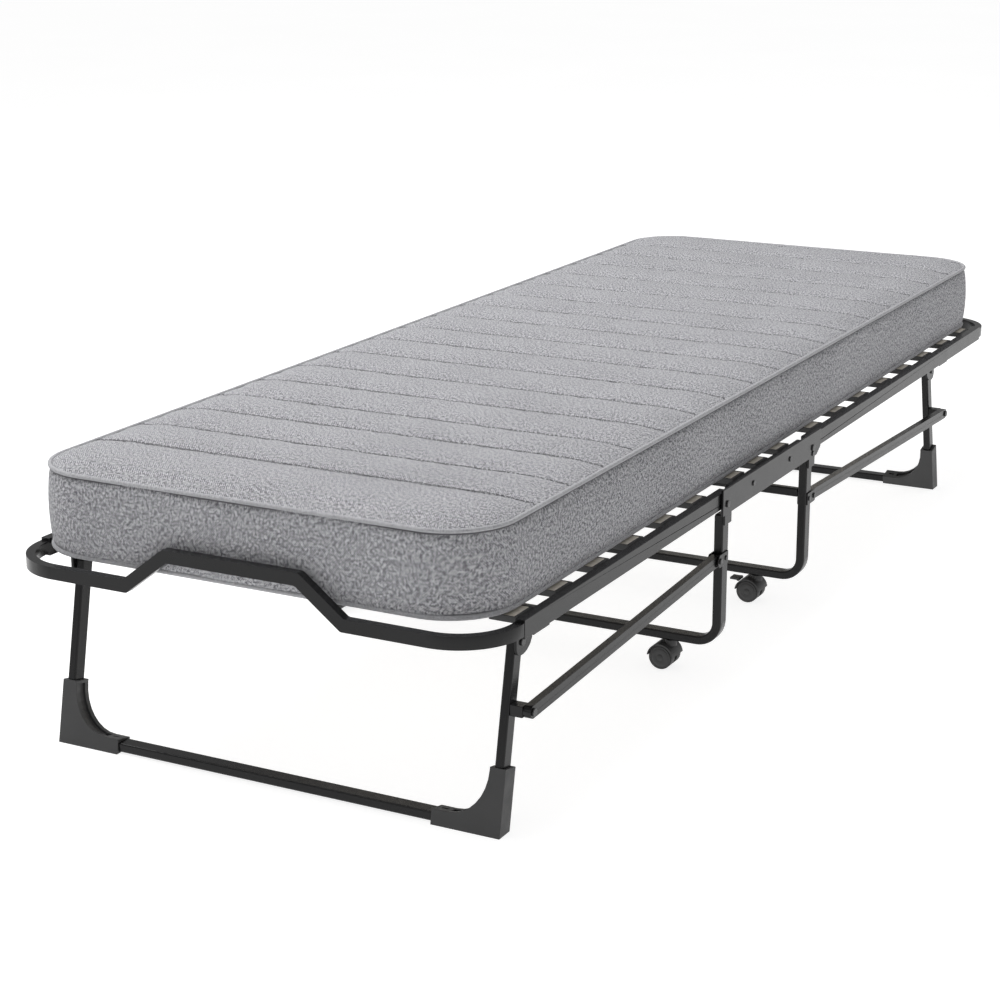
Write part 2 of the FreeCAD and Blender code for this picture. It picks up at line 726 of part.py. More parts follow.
axle_z = dim("wheel_radius") + dim("wheel_lift")
stems = []
for end, out, fold, pivot, splay, caster_y in ENDS:
    for side, sign in SIDES:
        stem_x = dim("caster_at") * sign
        axle_x = stem_x - dim("caster_trail")
        half_hood = dim("hood_wide") / 2
        shell = rod("y", dim("hood_radius"), caster_y - half_hood, caster_y + half_hood,
                    axle_x, axle_z)
        below = box(axle_x - 40.0, axle_x + 40.0, caster_y - 40.0, caster_y + 40.0,
                    axle_z - 40.0, axle_z + 2.0)
        wells = []
        for way in (-1, 1):
            wells.append(rod("y", dim("wheel_radius") + 0.8,
                             caster_y + 3.5 * way, caster_y + (half_hood + 1.0) * way,
                             axle_x, axle_z))
        dome = cut(shell, [below] + wells)
        web = box(axle_x - 7.0, axle_x + 7.0, caster_y - 3.5, caster_y + 3.5,
                  axle_z - 6.0, axle_z + 16.0)
        neck = rod("z", dim("stem_radius") + 3.5, axle_z + dim("hood_radius") - 4.0,
                   dim("caster_bar_low") - 1.0, stem_x, caster_y)
        bridge = box(axle_x - 4.0, stem_x + 4.0, caster_y - 5.0, caster_y + 5.0,
                     axle_z + dim("hood_radius") - 5.0, axle_z + dim("hood_radius") + 1.2)
        clear = wells + [rod("y", 2.05, caster_y - 6.0, caster_y + 6.0, axle_x, axle_z)]
        hood = cut(fuse([dome, web, neck, bridge]), clear)
        keep(hood, "caster_hood_%s_%s" % (end, side))
        stems.append(rod("z", dim("stem_radius"), dim("caster_bar_low") - 0.7,
                         dim("caster_bar_low"), stem_x, caster_y))
        axle = rod("y", 2.0, caster_y - 5.0, caster_y + 5.0, axle_x, axle_z)
        discs = [axle]
        for way in (-1, 1):
            discs.append(rod("y", dim("wheel_radius"), caster_y + 4.0 * way,
                             caster_y + (4.0 + dim("wheel_wide").value) * way,
                             axle_x, axle_z))
        keep(fuse(discs), "caster_wheels_%s_%s" % (end, side))
        if out > 0:
            # Foot lever of the wheel brake, on the hood's trailing side.
            pivot_x = axle_x - dim("hood_radius") + 1.5
            lever = fuse([
                rod("y", 2.4, caster_y - 8.0, caster_y + 8.0, pivot_x, axle_z + 14.0),
                box(pivot_x - 13.0, pivot_x, caster_y - 8.0, caster_y + 8.0,
                    axle_z + 13.0, axle_z + 16.0),
            ])
            keep(lever, "caster_brake_%s" % side)
keep(group(stems), "caster_stems")

doc.recompute()

# ---------------------------------------------------------------- check and write

broken = []
for obj in doc.Objects:
    if "Invalid" in obj.State or "Error" in obj.State:
        broken.append(obj.Label)
if broken:
    raise SystemExit("failed objects: %s" % ", ".join(broken))

for obj in PARTS:
    if obj.Shape.isNull() or not obj.Shape.isValid():
        raise SystemExit("bad shape: %s" % obj.Label)
    if obj.Shape.Volume <= 0:
        raise SystemExit("no volume: %s" % obj.Label)

labels = [obj.Label for obj in PARTS]
if len(set(labels)) != len(labels):
    raise SystemExit("a label is used twice")

os.makedirs("parts", exist_ok=True)
for obj in PARTS:
    obj.Shape.exportStep("parts/%s.step" % obj.Label)
print("%d sub-parts written" % len(PARTS))
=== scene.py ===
import math

import bpy
import numpy as np
from mathutils import Matrix, Vector
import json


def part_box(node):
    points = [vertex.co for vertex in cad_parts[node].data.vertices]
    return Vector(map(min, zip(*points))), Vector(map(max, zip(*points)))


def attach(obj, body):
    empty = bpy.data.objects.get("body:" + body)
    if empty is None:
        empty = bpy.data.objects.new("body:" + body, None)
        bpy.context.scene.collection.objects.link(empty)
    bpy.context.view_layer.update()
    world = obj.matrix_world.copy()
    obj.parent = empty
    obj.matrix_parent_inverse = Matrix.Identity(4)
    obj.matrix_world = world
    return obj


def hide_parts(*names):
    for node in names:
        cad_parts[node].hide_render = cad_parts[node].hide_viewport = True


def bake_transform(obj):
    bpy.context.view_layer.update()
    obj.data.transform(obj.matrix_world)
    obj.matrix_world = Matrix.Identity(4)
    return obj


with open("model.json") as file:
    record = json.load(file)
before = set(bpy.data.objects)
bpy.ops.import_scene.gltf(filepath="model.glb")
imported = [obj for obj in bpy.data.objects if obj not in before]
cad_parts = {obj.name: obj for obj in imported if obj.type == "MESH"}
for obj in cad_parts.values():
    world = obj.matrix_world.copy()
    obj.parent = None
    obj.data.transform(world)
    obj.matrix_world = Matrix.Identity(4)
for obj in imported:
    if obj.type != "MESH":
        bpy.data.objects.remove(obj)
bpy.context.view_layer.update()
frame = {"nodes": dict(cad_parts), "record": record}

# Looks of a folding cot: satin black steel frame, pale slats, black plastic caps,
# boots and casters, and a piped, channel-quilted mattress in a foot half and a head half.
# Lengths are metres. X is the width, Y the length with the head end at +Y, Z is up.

NODES = frame["nodes"]
scene = bpy.context.scene

# ------------------------------------------------------------------ camera

# A perspective fit to the photo gave these. The focal length is in picture widths.
CAM_AT = Vector((1.4447, -3.0214, 1.1151))
CAM_AZ = math.radians(27.946)
CAM_EL = math.radians(16.411)
CAM_ROLL = math.radians(-0.189)
FOCAL_WIDTHS = 2.267248
SENSOR_MM = 36.0


def make_camera():
    """Three-quarter view of the foot end and the right side, from a long lens."""
    back = Vector((math.sin(CAM_AZ) * math.cos(CAM_EL),
                   -math.cos(CAM_AZ) * math.cos(CAM_EL),
                   math.sin(CAM_EL)))
    right = (-back).cross(Vector((0, 0, 1))).normalized()
    up = right.cross(-back)
    cos_roll, sin_roll = math.cos(CAM_ROLL), math.sin(CAM_ROLL)
    rolled_right = right * cos_roll + up * sin_roll
    rolled_up = up * cos_roll - right * sin_roll
    data = bpy.data.cameras.new("camera")
    data.sensor_width = SENSOR_MM
    data.lens = SENSOR_MM * FOCAL_WIDTHS
    data.clip_end = 100.0
    cam = bpy.data.objects.new("camera", data)
    placed = Matrix((rolled_right, rolled_up, back)).transposed().to_4x4()
    placed.translation = CAM_AT
    cam.matrix_world = placed
    scene.collection.objects.link(cam)
    scene.camera = cam


make_camera()
scene.view_settings.view_transform = "Standard"

# ------------------------------------------------------------------ node help


class Net:
    """A small wrapper to build a material's nodes."""

    def __init__(self, name):
        self.mat = bpy.data.materials.new(name)
        self.mat.use_nodes = True
        self.tree = self.mat.node_tree
        self.tree.nodes.clear()
        self.out = self.add("ShaderNodeOutputMaterial")
        self.bsdf = self.add("ShaderNodeBsdfPrincipled")
        self.link(self.bsdf, "BSDF", self.out, "Surface")
        self.coord = self.add("ShaderNodeTexCoord")

    def add(self, kind, **values):
        """A new node with some of its properties set."""
        node = self.tree.nodes.new(kind)
        for key, value in values.items():
            setattr(node, key, value)
        return node

    def link(self, a, a_out, b, b_in):
        """Joins an output of one node to an input of another."""
        self.tree.links.new(a.outputs[a_out], b.inputs[b_in])

    def set(self, **values):
        """Constants of the surface shader, by short names."""
        names = {"color": "Base Color", "rough": "Roughness", "metal": "Metallic",
                 "spec": "Specular IOR Level", "sheen": "Sheen Weight",
                 "sheen_rough": "Sheen Roughness", "coat": "Coat Weight",
                 "coat_rough": "Coat Roughness"}
        for key, value in values.items():
            self.bsdf.inputs[names[key]].default_value = value

    def noise(self, scale, detail=2.0, rough=0.5, stretch=(1, 1, 1), space="Object"):
        """Noise in object space, or on the cloth's own map with space "UV"."""
        mapping = self.add("ShaderNodeMapping")
        mapping.inputs["Scale"].default_value = stretch
        self.link(self.coord, space, mapping, "Vector")
        node = self.add("ShaderNodeTexNoise")
        node.inputs["Scale"].default_value = scale
        node.inputs["Detail"].default_value = detail
        node.inputs["Roughness"].default_value = rough
        self.link(mapping, "Vector", node, "Vector")
        return node

    def ramp(self, source, output, stops):
        """Colours between stops, each a place from 0 to 1 and its colour."""
        node = self.add("ShaderNodeValToRGB")
        elements = node.color_ramp.elements
        while len(elements) < len(stops):
            elements.new(0.5)
        for element, (place, color) in zip(elements, stops):
            element.position = place
            element.color = tuple(color) + (1.0,)
        self.link(source, output, node, "Fac")
        return node

    def math(self, kind, a, b=None, c=None):
        """A math node whose inputs are numbers or (node, output) pairs."""
        node = self.add("ShaderNodeMath", operation=kind)
        for index, item in enumerate((a, b, c)):
            if item is None:
                continue
            if isinstance(item, tuple):
                self.tree.links.new(item[0].outputs[item[1]], node.inputs[index])
            else:
                node.inputs[index].default_value = item
        return node

    def bump(self, source, output, strength, distance, after=None):
        """Relief from a height, added to an earlier relief if one is given."""
        node = self.add("ShaderNodeBump")
        node.inputs["Strength"].default_value = strength
        node.inputs["Distance"].default_value = distance
        self.link(source, output, node, "Height")
        if after is not None:
            self.link(after, "Normal", node, "Normal")
        return node


# ------------------------------------------------------------------ materials


def black_steel():
    """Satin powder coat: orange-peel relief, faint mottling and uneven gloss."""
    net = Net("black_steel")
    broad = net.noise(6.0, 4.0, 0.6)
    tint = net.ramp(broad, "Fac", ((0.3, (0.0060, 0.0060, 0.0064)), (0.7, (0.0100, 0.0100, 0.0105))))
    net.link(tint, "Color", net.bsdf, "Base Color")
    fine = net.noise(900.0, 2.0, 0.5)
    peel = net.bump(fine, "Fac", 0.16, 0.0004)
    net.link(peel, "Normal", net.bsdf, "Normal")
    wear = net.noise(40.0, 5.0, 0.65)
    gloss = net.ramp(wear, "Fac", ((0.3, (0.20, 0.20, 0.20)), (0.75, (0.28, 0.28, 0.28))))
    net.link(gloss, "Color", net.bsdf, "Roughness")
    net.set(spec=0.26)
    return net.mat


def black_plastic(name="black_plastic", level=0.035, rough=0.5):
    """Fine-grained moulded plastic with uneven sheen."""
    net = Net(name)
    broad = net.noise(15.0, 3.0, 0.6)
    lo, hi = level * 0.85, level * 1.2
    tint = net.ramp(broad, "Fac", ((0.3, (lo, lo, lo * 1.02)), (0.7, (hi, hi, hi * 1.02))))
    net.link(tint, "Color", net.bsdf, "Base Color")
    grain = net.noise(1500.0, 2.0, 0.6)
    bump = net.bump(grain, "Fac", 0.25, 0.0003)
    net.link(bump, "Normal", net.bsdf, "Normal")
    shine = net.noise(60.0, 3.0, 0.5)
    gloss = net.ramp(shine, "Fac", ((0.3, (rough - 0.06,) * 3), (0.7, (rough + 0.08,) * 3)))
    net.link(gloss, "Color", net.bsdf, "Roughness")
    return net.mat


def slat_wood():
    """Pale sanded wood whose grain runs along X."""
    net = Net("slat_wood")
    long_grain = net.noise(14.0, 6.0, 0.62, stretch=(0.6, 14.0, 6.0))
    tint = net.ramp(long_grain, "Fac", (
        (0.25, (0.62, 0.56, 0.47)), (0.5, (0.76, 0.71, 0.62)), (0.8, (0.86, 0.82, 0.74))))
    net.link(tint, "Color", net.bsdf, "Base Color")
    fibre = net.noise(60.0, 4.0, 0.7, stretch=(0.5, 18.0, 8.0))
    bump = net.bump(fibre, "Fac", 0.3, 0.0004)
    net.link(bump, "Normal", net.bsdf, "Normal")
    gloss = net.ramp(fibre, "Fac", ((0.3, (0.5,) * 3), (0.7, (0.62,) * 3)))
    net.link(gloss, "Color", net.bsdf, "Roughness")
    return net.mat


SIDE_MAP = 10.0  # where the side wall's map begins, far past the top's own map


def fabric(name, light, dark, rib=0.0030, band=0.010, contrast=4.6):
    """Heather twill: ribs that turn back in bands, crossed yarns of two greys, fuzz.

    The side wall's map lies past SIDE_MAP, and its yarn is coarser and stronger in tone.
    """
    net = Net(name)
    split = net.add("ShaderNodeSeparateXYZ")
    net.link(net.coord, "UV", split, "Vector")
    side = net.math("GREATER_THAN", (split, "Y"), SIDE_MAP / 2)
    top_yarn, side_yarn = 530.0, 400.0
    fineness = net.math("MULTIPLY_ADD", (side, 0), side_yarn - top_yarn, top_yarn)

    def yarn(scale, stretch, detail, rough):
        """Noise on the cloth's map, whose stretch gives the yarn its direction."""
        return net.noise(scale, detail, rough, stretch, "UV")

    wobble = yarn(130.0, (1, 1, 1), 3.0, 0.6)
    zig = net.math("PINGPONG", (split, "Y"), band)
    slide = net.math("MULTIPLY_ADD", (wobble, "Fac"), 0.0022, (split, "X"))
    across = net.math("ADD", (slide, 0), (zig, 0))
    turn = net.math("MULTIPLY", (across, 0), 2.0 * math.pi / rib)
    ribs = net.math("MULTIPLY_ADD", (net.math("SINE", (turn, 0)), 0), 0.5, 0.5)
    warp = yarn(top_yarn, (1.0, 0.45, 1), 3.0, 0.75)
    weft = yarn(top_yarn, (0.60, 1.0, 1), 3.0, 0.75)
    net.link(fineness, 0, warp, "Scale")
    net.link(fineness, 0, weft, "Scale")
    heather = yarn(340.0, (1, 0.7, 1), 4.0, 0.85)
    broad = yarn(8.0, (1, 1, 1), 3.0, 0.5)
    mix = net.math("MULTIPLY", (ribs, 0), 0.10)
    for grain, weight in ((warp, 0.42), (weft, 0.42), (heather, 0.36), (broad, 0.03)):
        mix = net.math("MULTIPLY_ADD", (grain, "Fac"), weight, (mix, 0))
    mean = 0.665  # the mix of all yarns lies about this level
    strength = net.math("MULTIPLY_ADD", (side, 0), 0.7, 1.0)
    off_mean = net.math("SUBTRACT", (mix, 0), mean)
    level = net.math("MULTIPLY_ADD", (off_mean, 0), (strength, 0), mean)
    middle = tuple((p + q) / 2 for p, q in zip(light, dark))
    reach = 0.19 / contrast
    tint = net.ramp(level, 0, ((mean - reach, dark), (mean, middle),
                              (min(1.0, mean + reach), light)))
    net.link(tint, "Color", net.bsdf, "Base Color")
    cross = net.math("ADD", (warp, "Fac"), (weft, "Fac"))
    height = net.math("MULTIPLY_ADD", (cross, 0), 0.8, (ribs, 0))
    bump = net.bump(height, 0, 0.5, 0.0006)
    slow = yarn(30.0, (1, 1, 1), 2.0, 0.5)
    soft = net.bump(slow, "Fac", 0.05, 0.004, after=bump)
    net.link(soft, "Normal", net.bsdf, "Normal")
    net.set(rough=0.92, spec=0.12, sheen=0.12, sheen_rough=0.5)
    return net.mat


def rubber():
    """Dull dark tread."""
    net = Net("wheel_rubber")
    grain = net.noise(700.0, 2.0, 0.5)
    tint = net.ramp(net.noise(30.0, 3.0, 0.6), "Fac",
                    ((0.3, (0.012,) * 3), (0.7, (0.022,) * 3)))
    net.link(tint, "Color", net.bsdf, "Base Color")
    bump = net.bump(grain, "Fac", 0.2, 0.0003)
    net.link(bump, "Normal", net.bsdf, "Normal")
    net.set(rough=0.55)
    return net.mat


# ------------------------------------------------------------------ CAD pieces

STEEL = black_steel()
PLASTIC = black_plastic()
RIVET = black_plastic("dark_rivet", 0.05, 0.38)
WOOD = slat_wood()
FABRIC = fabric("grey_twill", (0.540, 0.540, 0.560), (0.110, 0.110, 0.121))
PIPING = fabric("grey_piping", (0.540, 0.540, 0.560), (0.250, 0.250, 0.262), 0.0022, 0.3, 1.5)
THREAD = fabric("grey_thread", (0.240, 0.240, 0.250), (0.120, 0.120, 0.126), 0.0012, 0.3, 1.0)
# The dark seam cord colour below is painted shade: the shaded line in the tuck beside each piping.
SHADE_SEAM = fabric("painted_shade_seam", (0.180, 0.180, 0.187), (0.090, 0.090, 0.095), 0.0012, 0.3, 1.0)
RUBBER = rubber()

FINISH = {"black_steel": STEEL, "slat_wood": WOOD, "black_plastic": PLASTIC,
          "wheel_rubber": RUBBER, "dark_rivet": RIVET, "grey_fabric": FABRIC}

slot_of = {part["node"]: part["material_slot"] for part in frame["record"]["subparts"]}


def edge_round(obj, width, segments=3):
    """Rounds the sharp edges of a CAD piece, as a press or a mould leaves them."""
    weld = obj.modifiers.new("weld", "WELD")
    weld.merge_threshold = 0.00002
    bevel = obj.modifiers.new("round", "BEVEL")
    bevel.width = width
    bevel.segments = segments
    bevel.limit_method = "ANGLE"
    bevel.angle_limit = math.radians(38)
    bevel.harden_normals = True


SMALL_ROUNDING = 0.0006
ROUNDING = {"rail": 0.0026, "tube": 0.0024, "frame": 0.0024, "bar": 0.0022, "braces": 0.0020,
            "caps": 0.0005, "slats": 0.0018, "plate": 0.0009, "boot": 0.0020}


def rounding(name):
    """Edge radius of a node, by the first word of ROUNDING that its name holds."""
    return next((width for word, width in ROUNDING.items() if word in name), SMALL_ROUNDING)


for name, obj in NODES.items():
    obj.data.materials.clear()
    obj.data.materials.append(FINISH[slot_of[name]])
    edge_round(obj, rounding(name))

# ------------------------------------------------------------------ mesh help


def make_object(name, verts, faces, materials, smooth=True):
    """A mesh object with its materials, linked into the scene."""
    mesh = bpy.data.meshes.new(name)
    mesh.from_pydata([tuple(v) for v in verts], [], [tuple(f) for f in faces])
    for material in materials:
        mesh.materials.append(material)
    if smooth:
        mesh.polygons.foreach_set("use_smooth", [True] * len(mesh.polygons))
    mesh.update()
    obj = bpy.data.objects.new(name, mesh)
    scene.collection.objects.link(obj)
    return obj


# ------------------------------------------------------------------ casters


def lathe(name, centre, way, profile, material, steps=40):
    """A turned piece about a line along Y: profile holds radius and reach pairs."""
    verts, faces = [], []
    for radius, reach in profile:
        for k in range(steps):
            w = 2 * math.pi * k / steps
            verts.append((centre[0] + radius * math.cos(w), centre[1] + way * reach,
                          centre[2] + radius * math.sin(w)))
    rows = len(profile)
    for m in range(rows - 1):
        for k in range(steps):
            n = (k + 1) % steps
            face = (m * steps + k, m * steps + n, (m + 1) * steps + n, (m + 1) * steps + k)
            faces.append(face if way > 0 else face[::-1])
    first = tuple(range(steps))
    last = tuple(range((rows - 1) * steps, rows * steps))
    faces.append(first[::-1] if way > 0 else first)
    faces.append(last if way > 0 else last[::-1])
    piece = make_object(name, verts, faces, [material])
    return piece


def hub_caps():
    """Domed side covers of the twin wheels, with a rim groove and a small centre boss."""
    dome = ((15.6, 15.5), (15.6, 16.3), (15.1, 16.8), (14.3, 16.9), (13.9, 16.5), (13.4, 16.5),
            (13.0, 16.9), (10.0, 17.3), (6.0, 17.6), (5.2, 17.2), (4.8, 17.2), (4.4, 17.7),
            (0.4, 17.8))
    for end in ("foot", "head"):
        for side in ("left", "right"):
            low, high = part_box("caster_wheels_%s_%s" % (end, side))
            centre = [(a + b) / 2 for a, b in zip(low, high)]
            for label, way in (("outer", -1), ("inner", 1)):
                piece = lathe("hub_cap_%s_%s_%s" % (end, side, label), centre, way,
                              [(r / 1000, d / 1000) for r, d in dome], PLASTIC)
                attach(piece, "caster_%s_%s_wheels" % (end, side))


hub_caps()

# ------------------------------------------------------------------ mattress

HALF_W = 0.3170
END_FOOT = -0.9420
END_HEAD = 0.9220
MID_Y = (END_FOOT + END_HEAD) / 2
HALF_L = (END_HEAD - END_FOOT) / 2
BED_Z0 = 0.2690
BED_Z1 = 0.3755
CROWN_TOP = 0.3875  # the highest that the cloth may rise
SWELL = 0.008  # the furthest that the cloth may swell past its outline
CORNER = 0.082
SPLIT_Y = -0.135  # between the two folds: the cover has a foot half and a head half

# Relief of the top: the seam edge lies EDGE_DROP under BED_Z1 and rises over CROWN_RUN,
# each channel puffs up between its stitch lines, and a lip follows the piping.
EDGE_DROP = 0.0022
CROWN_RUN = 0.075
CROWN_RISE = 0.0072
PUFF_RISE = 0.0042
LIP_RISE = 0.0016
GROOVE = 0.0008
# The side wall bulges in its middle and is tucked in beside both pipings.
BULGE = 0.0042
TUCK = 0.0052
TUCK_REACH = 0.0048
CLOTH_FRAMES = 16
CLOTH_CAP = 0.004  # the furthest that the pressure may move a point

# Levels of the side wall above the base, close together beside the piping.
WALL = (0.0, 0.0025, 0.006, 0.013, 0.028, 0.045, 0.0615, 0.0785, 0.0935, 0.1005, 0.104, 0.1065)
# Sewn lines across the top from the head end to the foot end, about evenly spaced in runs.
QUILT = ([0.88 - 0.105 * k for k in range(7)] + [0.25 - 0.09625 * k for k in range(1, 5)]
         + [-0.135 - 0.09975 * k for k in range(1, 5)] + [-0.621, -0.714, -0.802])


def stations(low, high, marks, fine, coarse):
    """Places along a line, close together beside each mark, coarser between."""
    stops = [low] + sorted(m for m in marks if low < m < high) + [high]
    places = set()
    for a, b in zip(stops[:-1], stops[1:]):
        near = [f for f in fine if f * 2 < (b - a) * 0.9]
        inner = [a] + [a + f for f in near]
        start, end = inner[-1], b - (near[-1] if near else 0.0)
        count = max(1, int(round((end - start) / coarse)))
        inner += [start + (end - start) * k / count for k in range(1, count + 1)]
        inner += [b - f for f in reversed(near[:-1])] + [b]
        places.update(round(v, 6) for v in inner)
    return sorted(places)


def to_plan(x, y):
    """Moves a point of the full rectangle into the round-cornered plan."""
    cx, cy = HALF_W - CORNER, HALF_L - CORNER
    y -= MID_Y
    a = (abs(x) - cx) / CORNER
    b = (abs(y) - cy) / CORNER
    if a > 0 and b > 0:
        a2 = a * math.sqrt(1 - b * b / 2)
        b2 = b * math.sqrt(1 - a * a / 2)
        x, y = math.copysign(cx + a2 * CORNER, x), math.copysign(cy + b2 * CORNER, y)
    return x, y + MID_Y


def outward(x, y):
    """Plan direction away from the mattress at a point of its outline."""
    dx = max(0.0, abs(x) - HALF_W + CORNER) * math.copysign(1, x)
    dy = max(0.0, abs(y - MID_Y) - HALF_L + CORNER) * math.copysign(1, y - MID_Y)
    size = math.hypot(dx, dy)
    return (dx / size, dy / size) if size > 1e-9 else (0.0, 0.0)


def edge_distance(x, y):
    """How far a plan point lies inside the round-cornered outline."""
    qx = abs(x) - HALF_W + CORNER
    qy = abs(y - MID_Y) - HALF_L + CORNER
    inside = min(max(qx, qy), 0.0)
    return CORNER - inside - math.hypot(max(qx, 0.0), max(qy, 0.0))


def top_height(x, y):
    """Height of the quilted top: crowned, full between its stitch lines."""
    d = max(0.0, edge_distance(x, y))
    rise = 1.0 - (1.0 - min(1.0, d / CROWN_RUN)) ** 2.4
    lines = [END_FOOT] + sorted(QUILT) + [END_HEAD]
    t = 0.0
    for a, b in zip(lines[:-1], lines[1:]):
        if a <= y <= b:
            t = (y - a) / (b - a)
            break
    puff = (4.0 * t * (1.0 - t)) ** 0.40
    fade = min(1.0, d / 0.03)
    lip = LIP_RISE * math.exp(-((d - 0.009) / 0.006) ** 2)
    if min(t, 1.0 - t) < 0.01 and END_FOOT + 0.01 < y < END_HEAD - 0.01:
        lip -= GROOVE
    return BED_Z1 - EDGE_DROP + CROWN_RISE * rise + PUFF_RISE * puff * fade + lip


def build_mattress():
    """One closed grid: top, bottom and side wall, with its pinned stitch lines."""
    xs = stations(-HALF_W, HALF_W, [-HALF_W + CORNER, HALF_W - CORNER], (0.003, 0.007), 0.0125)
    ys = stations(END_FOOT, END_HEAD, QUILT + [END_FOOT + CORNER, END_HEAD - CORNER],
                  (0.0025, 0.006), 0.0125)
    nx, ny = len(xs), len(ys)
    verts, uvs, faces, pins = [], [], [], []
    top = np.zeros((nx, ny), int)
    bottom = np.zeros((nx, ny), int)
    quilt = set(round(q, 6) for q in QUILT)
    for i, x in enumerate(xs):
        for j, y in enumerate(ys):
            px, py = to_plan(x, y)
            edge = i in (0, nx - 1) or j in (0, ny - 1)
            top[i, j] = len(verts)
            verts.append((px, py, top_height(px, py)))
            if edge or y in quilt:
                pins.append(top[i, j])
            bottom[i, j] = len(verts)
            verts.append((px, py, BED_Z0))
            pins.append(bottom[i, j])
    for i in range(nx - 1):
        for j in range(ny - 1):
            faces.append((top[i, j], top[i + 1, j], top[i + 1, j + 1], top[i, j + 1]))
            uvs.append([verts[k][:2] for k in faces[-1]])
            faces.append((bottom[i, j], bottom[i, j + 1], bottom[i + 1, j + 1], bottom[i + 1, j]))
            uvs.append([verts[k][:2] for k in faces[-1]])
    loop = ([(i, 0) for i in range(nx - 1)] + [(nx - 1, j) for j in range(ny - 1)]
            + [(i, ny - 1) for i in range(nx - 1, 0, -1)] + [(0, j) for j in range(ny - 1, 0, -1)])
    outline = [to_plan(xs[i], ys[j]) for i, j in loop]
    run = [0.0]
    for k in range(len(outline)):
        a, b = outline[k], outline[(k + 1) % len(outline)]
        run.append(run[-1] + math.hypot(b[0] - a[0], b[1] - a[1]))
    rings = [[bottom[i, j] for i, j in loop]]
    height = WALL[-1]
    for level in WALL[1:-1]:
        ring = []
        near = min(level, height - level)
        full = BULGE * 4 * level * (height - level) / height ** 2
        tuck = TUCK * math.exp(-(near / TUCK_REACH) ** 2)
        for px, py in outline:
            ox, oy = outward(px, py)
            ring.append(len(verts))
            verts.append((px + ox * (full - tuck), py + oy * (full - tuck), BED_Z0 + level))
        rings.append(ring)
    rings.append([top[i, j] for i, j in loop])
    for number, (a, b) in enumerate(zip(rings[:-1], rings[1:])):
        for k in range(len(loop)):
            n = (k + 1) % len(loop)
            faces.append((a[k], a[n], b[n], b[k]))
            z0, z1 = SIDE_MAP + WALL[number], SIDE_MAP + WALL[number + 1]
            uvs.append([(run[k], z0), (run[k + 1], z0), (run[k + 1], z1), (run[k], z1)])
    return verts, faces, uvs, pins, outline


def inflate(obj, pins, cap):
    """Cloth under pressure, held on its stitch lines; then kept near its start."""
    group = obj.vertex_groups.new(name="held")
    group.add([int(p) for p in pins], 1.0, "REPLACE")
    before = np.array([v.co for v in obj.data.vertices])
    cloth = obj.modifiers.new("cloth", "CLOTH")
    settings = cloth.settings
    settings.vertex_group_mass = "held"
    settings.use_pressure = True
    settings.uniform_pressure_force = 4.0
    settings.quality = 5
    settings.mass = 0.25
    settings.tension_stiffness = 18
    settings.compression_stiffness = 14
    settings.shear_stiffness = 6
    settings.bending_stiffness = 0.4
    settings.shrink_min = -0.010
    settings.effector_weights.gravity = 0.0
    cloth.collision_settings.use_self_collision = False
    for number in range(1, CLOTH_FRAMES + 1):
        scene.frame_set(number)
    depsgraph = bpy.context.evaluated_depsgraph_get()
    done = obj.evaluated_get(depsgraph).to_mesh()
    after = np.array([v.co for v in done.vertices])
    obj.evaluated_get(depsgraph).to_mesh_clear()
    obj.modifiers.remove(cloth)
    obj.vertex_groups.clear()
    scene.frame_set(1)
    move = after - before
    length = np.linalg.norm(move, axis=1)
    keep = np.where(length > 1e-9, np.minimum(1.0, cap / np.maximum(length, 1e-9)), 1.0)
    return before + move * keep[:, None]


def tube(path, radius, sides=8):
    """Closed tube along a closed path: vertices, faces and their map places."""
    verts, faces, uvs = [], [], []
    n = len(path)
    run = [0.0]
    for k in range(n):
        run.append(run[-1] + (Vector(path[(k + 1) % n]) - Vector(path[k])).length)
    for k in range(n):
        a = Vector(path[(k - 1) % n])
        b = Vector(path[(k + 1) % n])
        t = (b - a).normalized()
        side = t.cross(Vector((0, 0, 1))).normalized()
        up = side.cross(t)
        for q in range(sides):
            w = 2 * math.pi * q / sides
            p = Vector(path[k]) + side * (radius * math.cos(w)) + up * (radius * math.sin(w))
            verts.append(tuple(p))
    girth = 2 * math.pi * radius / sides
    for k in range(n):
        m = (k + 1) % n
        for q in range(sides):
            r = (q + 1) % sides
            faces.append((k * sides + q, k * sides + r, m * sides + r, m * sides + q))
            uvs.append([(run[k], q * girth), (run[k], (q + 1) * girth),
                        (run[k + 1], (q + 1) * girth), (run[k + 1], q * girth)])
    return verts, faces, uvs


def stitches():
    """Short thread lengths that dip into the cloth at both ends, line after line."""
    verts, faces, uvs = [], [], []
    length, pitch, wide = 0.0042, 0.0064, 0.0008
    profile = ((-0.5, 0.0013), (-0.25, 0.0027), (0.25, 0.0027), (0.5, 0.0013))
    for line in QUILT:
        reach = HALF_W - 0.004
        qy = abs(line - MID_Y) - HALF_L + CORNER
        if qy > 0:
            reach = HALF_W - CORNER + math.sqrt(max(0.0, CORNER ** 2 - qy ** 2)) - 0.004
        count = int(2 * reach / pitch)
        for k in range(count):
            x = -reach + (k + 0.5) * 2 * reach / count
            start = len(verts)
            for t, lift in profile:
                px = x + t * length
                z = top_height(px, line) + lift
                for side, drop in ((-wide, 0.0), (wide, 0.0), (wide * 0.6, -0.0008),
                                   (-wide * 0.6, -0.0008)):
                    verts.append((px, line + side, z + drop))
            for m in range(3):
                for q in range(4):
                    r = (q + 1) % 4
                    a, b = start + m * 4, start + (m + 1) * 4
                    faces.append((a + q, b + q, b + r, a + r))
                    uvs.append([(verts[v][0], verts[v][1]) for v in faces[-1]])
            faces.append((start, start + 1, start + 2, start + 3))
            faces.append((start + 15, start + 14, start + 13, start + 12))
            for face in faces[-2:]:
                uvs.append([(verts[v][0], verts[v][1]) for v in face])
    return verts, faces, uvs


